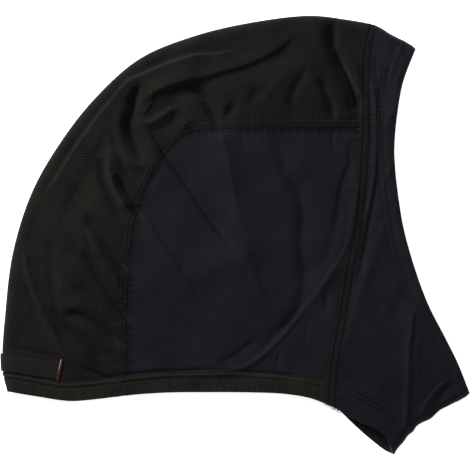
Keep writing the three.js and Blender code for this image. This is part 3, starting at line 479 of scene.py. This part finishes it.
def shell(name, points, side, wall, lift=0, ring=False):
    # a wall of cloth over a grid of points: fine outside, half as fine inside, with even numbers of steps
    normal = facing(points, side, ring)
    outer = points + normal * np.broadcast_to(lift, points.shape[:-1])[..., None]
    inner = (outer - normal * np.broadcast_to(wall, points.shape[:-1])[..., None])[::2, ::2]
    closed = np.concatenate([points, points[:1]]) if ring else points
    middle = closed.shape[1] // 2
    steps = np.linalg.norm(np.diff(closed, axis=1), axis=2)
    across = np.concatenate([np.zeros((len(closed), 1)), np.cumsum(steps, axis=1)], axis=1)
    across -= across[:, middle][:, None]
    uv = np.stack([runningLength(closed[:, middle])[:, None] + 0 * across, across], axis=-1)
    vertices = np.concatenate([outer.reshape(-1, 3), inner.reshape(-1, 3)])
    rows, cols = points.shape[:2]
    innerRows, innerCols = inner.shape[:2]
    out = lambda a, b: (a % rows) * cols + b
    into = lambda a, b: rows * cols + (a // 2 % innerRows) * innerCols + b // 2
    lastRow, lastCol = (rows if ring else rows - 1), cols - 1
    faces, uvs = [], []

    def surface(index, step):
        i, j = np.meshgrid(np.arange(0, lastRow, step), np.arange(0, lastCol, step), indexing="ij")
        corners = [(i, j), (i + step, j), (i + step, j + step), (i, j + step)]
        corners = corners if index is out else corners[::-1]
        faces.append(np.stack([index(a, b) for a, b in corners], axis=-1).reshape(-1, 4))
        uvs.append(np.stack([uv[a, b] for a, b in corners], axis=2).reshape(-1, 4, 2))

    def rim(a0, b0, stepA, stepB, count, turned):
        k = np.arange(0, count, 2)
        a, b = a0 + stepA * k, b0 + stepB * k
        places = [(a + n * stepA, b + n * stepB) for n in range(3)]
        loop = [*[(out, *place) for place in places], (into, *places[2]), (into, *places[0])]
        loop = loop[::-1] if turned else loop
        faces.append(np.stack([index(x, y) for index, x, y in loop], axis=-1))
        uvs.append(np.stack([uv[x, y] for index, x, y in loop], axis=1))

    surface(out, 1)
    surface(into, 2)
    rim(0, 0, 1, 0, lastRow, True)
    rim(0, lastCol, 1, 0, lastRow, False)
    if not ring:
        rim(0, 0, 0, 1, lastCol, False)
        rim(lastRow, 0, 0, 1, lastCol, True)
    if signedVolume(vertices, np.concatenate(faces[:2])) < 0:
        faces, uvs = [part[:, ::-1] for part in faces], [part[:, ::-1] for part in uvs]
    faceList = [face for part in faces for face in part.tolist()]
    return makeObject(name, vertices, faceList, np.concatenate([part.reshape(-1, 2) for part in uvs]))


def signedVolume(vertices, faces):
    a, b, c, d = (vertices[faces[:, k]] for k in range(4))
    return (a * np.cross(b, c)).sum() + (a * np.cross(c, d)).sum()


def threads(name, lines, up, radius, sides, flat):  # a tube along each of the lines: (count, points, 3)
    count, steps = lines.shape[:2]
    run = unit(np.gradient(lines, axis=1))
    aside = unit(np.cross(run, up))
    above = np.cross(aside, run)
    taper = np.ones(steps)
    taper[[0, -1]] = meshing["threadEnd"]
    angle = np.arange(sides) * 2 * math.pi / sides
    ring = np.cos(angle)[:, None] * aside[:, :, None] + flat * np.sin(angle)[:, None] * above[:, :, None]
    vertices = (lines[:, :, None] + ring * (radius * taper[None, :, None, None])).reshape(-1, 3)
    n, k, s = np.meshgrid(np.arange(count), np.arange(steps - 1), np.arange(sides), indexing="ij")
    at = lambda a, b, c: (a * steps + b) * sides + c % sides
    tube = np.stack([at(n, k, s), at(n, k, s + 1), at(n, k + 1, s + 1), at(n, k + 1, s)], axis=-1).reshape(-1, 4)
    faces = tube.tolist()
    for first in range(0, len(vertices), steps * sides):
        last = first + (steps - 1) * sides
        faces.append([first + c for c in reversed(range(sides))])
        faces.append([last + c for c in range(sides)])
    if signedVolume(vertices, tube) < 0:
        faces = [face[::-1] for face in faces]
    return makeObject(name, vertices, faces)


def stitchPoints(plan, side, lift):  # points over the cloth, and the way that it faces there
    step = meshing["slopeStep"]
    here = clothAt(plan, side)
    right, far = clothAt(plan + [step, 0], side), clothAt(plan + [0, step], side)
    normal = np.cross(right - here, far - here)
    flip = (np.sign(normal[..., 2]) + (normal[..., 2] == 0)) * side
    normal = unit(normal * flip[..., None])
    return here + normal * np.broadcast_to(lift, plan.shape[:-1])[..., None], normal


def sew(name, plan, side, lift, radius, material, node=None, sides=5, flat=1.0):
    points, up = stitchPoints(plan, side, lift)
    return dress(threads(name, points, up, radius, sides, flat), material, node)


# Materials

def addNode(tree, kind, settings={}, links={}):  # one node with its settings and what feeds it
    node = tree.nodes.new(kind)
    for name, value in settings.items():
        if name in node.inputs:
            node.inputs[name].default_value = value
        else:
            setattr(node, name, value)
    for name, source in links.items():
        tree.links.new(source, node.inputs[name])
    return node


def startMaterial(name, inputs):  # a new material, its tree and its shader with these inputs
    material = bpy.data.materials.new(name)
    material.use_nodes = True
    shader = material.node_tree.nodes["Principled BSDF"]
    for word, value in inputs.items():
        shader.inputs[word].default_value = value
    return material, material.node_tree, shader


def compute(tree, operation, *values):  # a math node; each value is a number or what feeds it
    node = addNode(tree, "ShaderNodeMath", {"operation": operation})
    for place, value in zip(node.inputs, values):
        if isinstance(value, (int, float)):
            place.default_value = value
        else:
            tree.links.new(value, place)
    return node.outputs[0]


def noise(tree, place, size, detail, roughness=0.5):
    settings = {"Scale": 1 / (size * mm), "Detail": detail, "Roughness": roughness}
    return addNode(tree, "ShaderNodeTexNoise", settings, {"Vector": place}).outputs["Fac"]


def colourRamp(tree, shader, source, *stops):  # stops: position and colour
    ramp = addNode(tree, "ShaderNodeValToRGB", {}, {"Fac": source})
    for element, (position, colour) in zip(ramp.color_ramp.elements, stops):
        element.position, element.color = position, rgb(colour)
    tree.links.new(ramp.outputs["Color"], shader.inputs["Base Color"])


def cloth(
        name, dark, light, roughness, specular, sheen=0, *,
        ribs=False, along, across, fuzz, slow, loops, hollowShade, relief):
    # the period of the loops along and across, the size of the fuzz and of slow changes, the share of loops
    # in the height, the height's share in the colour as painted shade in the knit's low places, and the relief, in
    # mm; sheen is the glow of steep folds
    material, tree, shader = startMaterial(name, {
        "Roughness": roughness, "Specular IOR Level": specular, "Sheen Weight": sheen, "Sheen Roughness": 0.4})
    place = addNode(tree, "ShaderNodeUVMap", {"uv_map": "clothMap"}).outputs["UV"]
    scaled = addNode(tree, "ShaderNodeVectorMath", {"operation": "MULTIPLY"}, {0: place})
    scaled.inputs[1].default_value = (2 * math.pi / (along * mm), 2 * math.pi / (across * mm), 0)
    split = addNode(tree, "ShaderNodeSeparateXYZ", {}, {"Vector": scaled.outputs["Vector"]})
    if ribs:
        knit = compute(tree, "COSINE", split.outputs["X"])
    else:
        knit = compute(tree, "MULTIPLY", *[compute(tree, "SINE", split.outputs[axis]) for axis in ("X", "Y")])
    height = compute(tree, "MULTIPLY_ADD", knit, loops, noise(tree, place, fuzz, 3, 0.7))
    # the colour follows the knit's height: painted shade, darker in the hollows between loops and in the grooves
    # between ribs
    mix = compute(tree, "MULTIPLY_ADD", height, hollowShade, noise(tree, place, slow, 2))
    colourRamp(tree, shader, mix, (0.2, dark), (1, light))
    bump = addNode(tree, "ShaderNodeBump", {"Strength": 1.0, "Distance": relief * mm}, {"Height": height})
    tree.links.new(bump.outputs["Normal"], shader.inputs["Normal"])
    return material


meshKnit = cloth(  # micro-mesh polyester knit: matte, its small holes give a fine broken texture, partly bump and partly painted shade in them
    "microMeshKnit", "#060605", "#191815", 0.85, 0.08, 0.05,
    along=2.2, across=2.5, fuzz=0.9, slow=18, loops=0.5, hollowShade=0.52, relief=0.34)
stretchKnit = cloth(  # smooth nylon and elastane knit: even, faintly bluish
    "stretchKnit", "#0c0b11", "#18171d", 0.72, 0.11, 0.04,
    along=0.8, across=0.8, fuzz=0.8, slow=25, loops=0.2, hollowShade=0.25, relief=0.06)
ribbedElastic = cloth(  # woven elastic tape: matte olive ribs, with painted shade in the grooves between them
    "ribbedElastic", "#060605", "#23241f", 0.8, 0.1, ribs=True,
    along=1.3, across=1.3, fuzz=0.7, slow=12, loops=0.5, hollowShade=0.6, relief=0.1)
seamCore = cloth(  # the overlapped cloth edges under the seams' threads: in shade between them
    "seamCore", "#060606", "#101010", 0.9, 0.06,
    along=1.3, across=1.3, fuzz=0.7, slow=12, loops=0.3, hollowShade=0.5, relief=0.1)
labelTape = cloth(  # plain woven label tape: even charcoal
    "labelTape", "#141414", "#1b1b1b", 0.8, 0.08,
    along=0.6, across=0.5, fuzz=0.5, slow=20, loops=0.3, hollowShade=0.15, relief=0.03)


def thread(name, dark, light, roughness=0.65, specular=0.2):  # twisted polyester thread
    material, tree, shader = startMaterial(name, {"Roughness": roughness, "Specular IOR Level": specular})
    place = addNode(tree, "ShaderNodeTexCoord").outputs["Object"]
    colourRamp(tree, shader, noise(tree, place, 0.8, 2), (0.3, dark), (0.75, light))
    return material


blackThread = thread("blackPolyesterThread", "#010101", "#070707", 0.9, 0.05)
darkThread = thread("darkPolyesterThread", "#070707", "#141412")
seamThread = thread("seamCoverThread", "#10100e", "#22221e")
frontThread = thread("greyPolyesterThread", "#101010", "#222222")
redThread = thread("redRayonThread", "#240a0b", "#4a171a")
overlockThread = thread("overlockPolyesterThread", "#11100f", "#3a3836")
# pale thread, also used as a painted highlight along the label's lower edge
paleThreadAndHighlight = thread("palePolyesterThreadAndHighlight", "#8f8a83", "#b5afa8")
print("materials are ready")


# The panels

crownPanel = {"along": 470, "upper": 120, "lower": 30, "turn": 12, "width": 64}

left = cut(crownFold, panelAtBand, sideAtFront)
right = cut(crownAtSeam, panelAtBand, sideAtFront)
shares, sides = overFold(crownPanel, crownPanel["width"])
plan = patch(
    left, right, cut(panelAtBand, crownFold, crownAtSeam), cut(sideAtFront, crownFold, crownAtSeam),
    evenly(crownPanel["along"]), shares)
crown = shell("crownPanel", clothAt(plan, sides), sides, thick["mesh"])
dress(crown, meshKnit, "crown_panel")
print("crown panel is made")

sidePanel = {"upper": 250, "lower": 70}


def makeSide(name, side, steps, node):
    seam = cut(sideAtSeam, panelAtBand, sideAtFront)
    corner = round(nearest(seam, crownRows[6:7, 2:])[1][0] * (len(seam) - 1))  # the panel's rounded corner
    grid = patch(
        seam[:corner + 1], cut(sideAtFront, panelAtBand, sideAtSeam),
        cut(panelAtBand, sideAtSeam, sideAtFront), seam[corner:], evenly(steps), evenly(steps))
    return dress(shell(name, clothAt(grid, side), side, thick["stretch"]), stretchKnit, node)


sideRight = makeSide("sidePanelRight", 1, sidePanel["upper"], "side_panel_right")
sideLeft = makeSide("sidePanelLeft", -1, sidePanel["lower"], "side_panel_left")
print("side panels are made")

facePanel = {
    "upper": 400, "lower": 160, "across": 60, "turn": 10, "hemLift": 0.35, "groove": 0.3, "grooveWidth": 0.7,
    "fromFaceStitch": 1.7, "fromJawStitch": 0.8, "puff": 0.3, "puffMiddle": 3.2, "puffWidth": 2.2}


def within(distance, width):  # 1 inside of a hem and 0 outside, softly
    return 1 / (1 + np.exp((distance - width) * form["hemSteepness"]))


def faceGrid(side, steps):
    neck = neckEdge[side]
    seam = cut(faceAtFront, crownFold, neck)
    down = fromFold(steps // 2, facePanel["turn"], lengthOf(faceEdge) / 2) / 2
    shares = np.concatenate([down, 1 - down[:-1][::-1]])
    return patch(
        np.vstack([seam, cut(neck, faceAtFront, None)[1:]]), faceEdge, cut(crownFold, faceAtFront, None),
        throatFold[::-1], shares, evenly(facePanel["across"]))


upperFace, lowerFace = faceGrid(1, facePanel["upper"]), faceGrid(-1, facePanel["lower"])[::-1]
plan = np.concatenate([upperFace[:-1], lowerFace[:-1]])
sides = np.repeat([1, -1], [len(upperFace) - 1, len(lowerFace) - 1])[:, None]
flatPlan = plan.reshape(-1, 2)
toEdge = nearest(faceEdge, flatPlan)[0].reshape(plan.shape[:2])
toJaw = nearest(neckEdge[1], flatPlan)[0].reshape(plan.shape[:2])
hem = np.maximum(within(toEdge, form["faceHem"]), within(toJaw, form["jawHem"]))
wall = thick["stretch"] + (thick["hem"] - thick["stretch"]) * hem
stitched = np.zeros(len(flatPlan))
for line, half in ((faceStitch, facePanel["fromFaceStitch"]), (jawStitch[1], facePanel["fromJawStitch"])):
    stitched += ridge(nearest(curveThrough(line), flatPlan)[0], half, facePanel["grooveWidth"])
lift = hem * facePanel["hemLift"] - facePanel["groove"] * stitched.reshape(plan.shape[:2])
lift += facePanel["puff"] * ridge(toEdge, facePanel["puffMiddle"], facePanel["puffWidth"])
face = shell("facePanel", clothAt(plan, sides), sides, wall, lift * (sides > 0), ring=True)
dress(face, stretchKnit, "face_panel")
print("face panel is made")

# The ribbed band

band = {
    "rib": 1.3, "stepsPerRib": 6, "across": 16, "turn": 40, "above": 0.3, "below": 0.55,
    "ribDepth": 0.4, "ribsFrom": 0.26, "ribsFade": 0.08, "rollHeight": 0.45, "roll": (0.13, 0.07),
    "grooveDepth": 0.35, "grooves": [(0.26, 0.045), (0.02, 0.03)]}

top = cut(bandAtPanel, crownFold, sideAtFront)
bandLength = lengthOf(top)
steps = int(bandLength / band["rib"]) * band["stepsPerRib"]
shares, sides = overFold({**band, "upper": steps, "lower": steps}, bandLength)
across = evenly(band["across"])
plan = patch(
    top, cut(neckEdge[1], None, sideAtFront), cut(crownFold, None, bandAtPanel)[::-1],
    cut(sideAtFront, bandAtPanel, neckEdge[1]), shares, across)
points = clothAt(plan, sides[:, None])
along = runningLength(points[:, band["across"] // 2])
rib = 0.5 + 0.5 * np.cos(2 * math.pi * along / band["rib"])[:, None]
roll = ridge(across, *band["roll"])[None]
groove = sum(ridge(across, *place)[None] for place in band["grooves"])
ribbed = np.clip((across - band["ribsFrom"]) / band["ribsFade"], 0, 1)[None]
lift = band["above"] + band["ribDepth"] * (rib - 0.5) * ribbed
lift = lift + band["rollHeight"] * roll - band["grooveDepth"] * groove
lift = np.where(sides[:, None] > 0, lift, np.minimum(lift - band["below"], 0))
napeBand = shell("napeBand", points, sides[:, None], thick["elastic"], lift)
dress(napeBand, ribbedElastic, "nape_band")

# two rows of dark stitches hold the band's rolled edge
walls = ((1, "Upper"), (-1, "Lower"))
bandStitch = {"period": 1.7, "radius": 0.2, "rows": (0.05, 0.26), "above": 0.62}
dash = {"start": 0.1, "length": 0.8, "sunk": 0.1}  # of its period; how deep it lies in the cloth


def dashShares(count, t):  # where the dashes of a row run, as shares of the row
    return (np.arange(count)[:, None] + dash["start"] + dash["length"] * t[None]) / count


t = evenly(4)
for side, word in walls:
    u = dashShares(int(bandLength / bandStitch["period"]), t)
    start, end = walk(top, u), walk(cut(neckEdge[side], None, sideAtFront), u)
    rows = np.concatenate([start + (end - start) * share for share in bandStitch["rows"]])
    lift = bandStitch["above"] * (side > 0) - dash["sunk"]
    sew("bandStitches" + word, rows, side, lift, bandStitch["radius"], blackThread)
print("band is made")

# The flatlock seams: a padded strip with groups of cover threads across it

seams = {
    "base": 0.05, "rise": 0.1, "ridges": [(0.2, 0.17), (0.72, 0.22)], "across": 12,
    "threadBow": 0.1, "threadBelow": -0.05, "threadFlat": 0.7}
frontSeam = {"upper": 240, "lower": 150, "turn": 14, "across": 14}
# groups of cover threads: from and to across the seam, slant and period along it, radius, material
crownThreads = [
    (0.02, 0.45, 0.3, 1.35, 0.3, seamThread), (0.45, 0.99, 0.3, 1.35, 0.3, darkThread),
    (1.0, 1.5, 0.2, 1.35, 0.12, blackThread)]
frontThreads = [(0.03, 0.36, 0.3, 0.85, 0.22, frontThread), (0.44, 0.98, 0.3, 1.28, 0.3, frontThread)]


def seamProfile(v):  # two padded ridges along the seam
    ridges = sum(ridge(v, *place) for place in seams["ridges"])
    return np.where((v >= 0) & (v <= 1), seams["base"] + seams["rise"] * ridges, seams["base"])


def makeSeam(name, plan, sides, node):
    grown = np.broadcast_to(sides, plan.shape[:2])
    lift = np.where(grown > 0, seamProfile(evenly(plan.shape[1] - 1))[None], 0)
    dress(shell(name, clothAt(plan, grown), grown, thick["seam"], lift), seamCore, node)


def coverThreads(name, leftEdge, rightEdge, side, groups):
    t = evenly(6)
    for number, (low, high, slant, period, radius, material) in enumerate(groups):
        count = int(lengthOf(leftEdge) / period)
        u = np.clip((np.arange(count)[:, None] + 0.5 + slant * (t[None] - 0.5)) / count, 0, 1)
        v = low + (high - low) * t[None] + 0 * u
        start, end = walk(leftEdge, u), walk(rightEdge, u)
        bow = seams["threadBow"] * np.sin(math.pi * t)[None]
        lift = bow + seamProfile(v) if side > 0 else seams["threadBelow"]
        lines = start + (end - start) * v[..., None]
        sew(f"{name}{number}", lines, side, lift, radius, material, flat=seams["threadFlat"])


def makeCrownSeam(name, side, steps, node):
    leftEdge = cut(seamOverCrown, panelAtBand, sideAtFront)
    rightEdge = cut(seamOverSide, panelAtBand, sideAtFront)
    grid = patch(
        leftEdge, rightEdge, cut(panelAtBand, seamOverCrown, seamOverSide),
        cut(sideAtFront, seamOverCrown, seamOverSide), evenly(steps), evenly(seams["across"]))
    makeSeam(name, grid, side, node)
    coverThreads(name + "Threads", leftEdge, rightEdge, side, crownThreads)


makeCrownSeam("crownSeamRight", 1, steps=300, node="crown_seam_right")
makeCrownSeam("crownSeamLeft", -1, steps=150, node="crown_seam_left")

leftEdge = cut(frontOverSide, crownFold, neckEdge[1])
rightEdge = cut(frontOverFace, crownFold, neckEdge[1])
shares, sides = overFold(frontSeam, lengthOf(leftEdge))
plan = patch(
    leftEdge, rightEdge, cut(crownFold, frontOverSide, frontOverFace),
    cut(neckEdge[1], frontOverSide, frontOverFace), shares, evenly(frontSeam["across"]))
makeSeam("frontSeam", plan, sides[:, None], "front_seam")
for side, word in walls:
    coverThreads("frontSeamThreads" + word, leftEdge, rightEdge, side, frontThreads)
print("flatlock seams are made")

# The coverstitches of the face hem and of the jaw hem: two rows of dashes with rungs between them

hemStitch = {"period": 2.3, "above": 0.42, "rungSlant": 0.3, "rowBow": 0.16, "rungBow": 0.02}


def coverStitch(name, line, side, gap, radius, rungRadius, material):
    rows = bothSides(line, gap / 2)
    count = int(lengthOf(line) / hemStitch["period"])
    t = evenly(4)
    dashes = np.concatenate([walk(row, dashShares(count, t)) for row in rows])
    at = (np.arange(count) + 0.5) / count
    start = walk(rows[0], at)[:, None]
    end = walk(rows[1], np.clip(at + hemStitch["rungSlant"] / count, 0, 1))[:, None]
    rungs = start + (end - start) * t[None, :, None]
    for word, lines, size, bow in (
            ("Rows", dashes, radius, hemStitch["rowBow"]), ("Rungs", rungs, rungRadius, hemStitch["rungBow"])):
        lift = hemStitch["above"] * (side > 0) - dash["sunk"] + bow * np.sin(math.pi * t)[None]
        sew(name + word, lines, side, lift, size, material)


for side, word in walls:
    coverStitch(
        "faceStitch" + word, curveThrough(faceStitch), side,
        gap=3.4, radius=0.17, rungRadius=0.1, material=seamThread)
    coverStitch(
        "jawStitch" + word, curveThrough(jawStitch[side]), side,
        gap=3, radius=0.19, rungRadius=0.05, material=blackThread)
print("hem stitches are made")

# The overlock of the raw jaw edge, seen inside the opening, and its frayed loops under the band's right end

overlock = {"count": 27, "radius": 0.2, "length": 3.4, "margin": 0.03, "slant": 0.5, "off": 0.1}
t = evenly(4)
u = (np.arange(overlock["count"])[:, None] + overlock["slant"] * t[None]) / overlock["count"]
u = overlock["margin"] + (1 - 2 * overlock["margin"]) * u
rim = curveThrough(jawLower)
start, end = walk(rim, u), walk(offset(rim, overlock["length"]), u)
sew("overlockBars", start + (end - start) * t[None, :, None], -1, -thick["hem"] - overlock["off"],
    overlock["radius"], overlockThread)

fray = {
    "count": 14, "radius": 0.14, "from": (51.2, -99.1), "to": (62, -105.4), "turns": 1.1, "turnStep": 2.4,
    "size": 0.9, "change": 0.25, "changeStep": 5, "drift": 0.8, "above": 0.5, "bow": 0.4}
t = evenly(8)
number = np.arange(fray["count"])[:, None]
share = number / (fray["count"] - 1)
turn = 2 * fray["turns"] * math.pi * t[None] + fray["turnStep"] * number
size = fray["size"] * (1 - fray["change"] + fray["change"] * np.sin(fray["changeStep"] * number))
x = fray["from"][0] + (fray["to"][0] - fray["from"][0]) * share + size * (np.cos(turn) + fray["drift"] * t[None])
y = fray["from"][1] + (fray["to"][1] - fray["from"][1]) * share + size * np.sin(turn)
lift = fray["above"] + fray["bow"] * np.sin(3 * number + 4 * t[None])
sew("frayedLoops", np.stack([x, y], axis=2), 1, lift, fray["radius"], overlockThread)

# The label and its bar tack

label = {
    "top": [(-150, -69.6), (-104.7, -75.6)], "low": [(-150, -79.8), (-107.1, -86.2)],
    "upper": 44, "lower": 40, "turn": 12, "across": 12}

topLine, lowLine = curveThrough(label["top"]), curveThrough(label["low"])
leftEdge, rightEdge = cut(topLine, crownFold, None), cut(lowLine, crownFold, None)
shares, sides = overFold(label, lengthOf(leftEdge))
plan = patch(
    leftEdge, rightEdge, cut(crownFold, topLine, lowLine), np.array([leftEdge[-1], rightEdge[-1]]),
    shares, evenly(label["across"]))
tape = shell("labelTape", clothAt(plan, sides[:, None]), sides[:, None], thick["label"], labelLift)
dress(tape, labelTape, "label")

tack = {
    "width": 2.4, "over": 1.2, "period": 0.62, "above": 0.75, "bow": 0.25, "inward": 1, "radius": 0.36,
    "flat": 0.9, "endShare": 0.35, "roundness": 0.7}

a, b = np.array(label["top"][1]), np.array(label["low"][1])
down = (b - a) / np.linalg.norm(b - a)
aside = np.array([-down[1], down[0]])
start, end = a - down * tack["over"], b + down * tack["over"]
count = int(np.linalg.norm(end - start) / tack["period"])
t = evenly(6)
u = (np.arange(count) + 0.5) / count
full = tack["endShare"] + (1 - tack["endShare"]) * np.sin(math.pi * u) ** tack["roundness"]
half = tack["width"] / 2 * full[:, None]
plan = (start + (end - start) * u[:, None])[:, None] + aside * (tack["inward"] + half * (2 * t - 1))[..., None]
sew("barTack", plan, 1, tack["above"] + tack["bow"] * np.sin(math.pi * t)[None], tack["radius"], redThread,
    "bar_tack", sides=6, flat=tack["flat"])

# two pale thread ends beside the tack, and a pale line under the label's end at the fold that is a painted highlight
# where the label's lower edge catches the light: points, height, radius
paleLines = {
    "tackTop": ([(-103.8, -74.4), (-104.3, -76.6), (-104.9, -79), (-105.3, -80.8)], 0.95, 0.33),
    "tackEdge": ([(-105, -79.8), (-105.5, -82), (-106, -84), (-106.6, -86)], 1, 0.14),
    "labelEdgeHighlight": ([(-138.6, -80.9), (-135, -81.7), (-131.5, -82.3), (-127.5, -82.8)], 0.6, 0.3)}
for name, (line, above, radius) in paleLines.items():
    plan = walk(curveThrough(line, 0.5), evenly(13))[None]
    sew(name, plan, 1, above, radius, paleThreadAndHighlight, sides=6)
print("label and bar tack are made")

# Floor and light

stage = {"floorSize": 6, "floorDrop": 0.0002, "floorColour": "#ffffff", "glow": 0.8, "world": 0.14}
white = (1, 1, 1, 1)

bpy.ops.object.select_all(action="DESELECT")
bpy.ops.mesh.primitive_plane_add(size=stage["floorSize"], location=(0, 0, -stage["floorDrop"]))
floor = bpy.context.object
floor.name = "floor"
floor.data.materials.append(startMaterial("palePaper", {
    "Base Color": rgb(stage["floorColour"]), "Roughness": 1, "Specular IOR Level": 0,
    "Emission Color": white, "Emission Strength": stage["glow"]})[0])

world = bpy.data.worlds.new("softRoom")
world.use_nodes = True
background = world.node_tree.nodes["Background"]
background.inputs["Color"].default_value, background.inputs["Strength"].default_value = white, stage["world"]
bpy.context.scene.world = world


def areaLight(name, place, size, watts):  # a soft square lamp that looks at the liner
    lamp = bpy.data.lights.new(name, "AREA")
    lamp.size, lamp.energy = size, watts
    thing = newObject(name, lamp)
    thing.location = place
    thing.rotation_euler = (-thing.location).to_track_quat("-Z", "Y").to_euler()


areaLight("keyLight", (-1.06, 0.91, 0.81), size=0.8, watts=33)
areaLight("fillLight", (0.2, 0.2, 1.9), size=1.0, watts=12)
bpy.context.scene.view_settings.view_transform = "Standard"
print("stage is set")
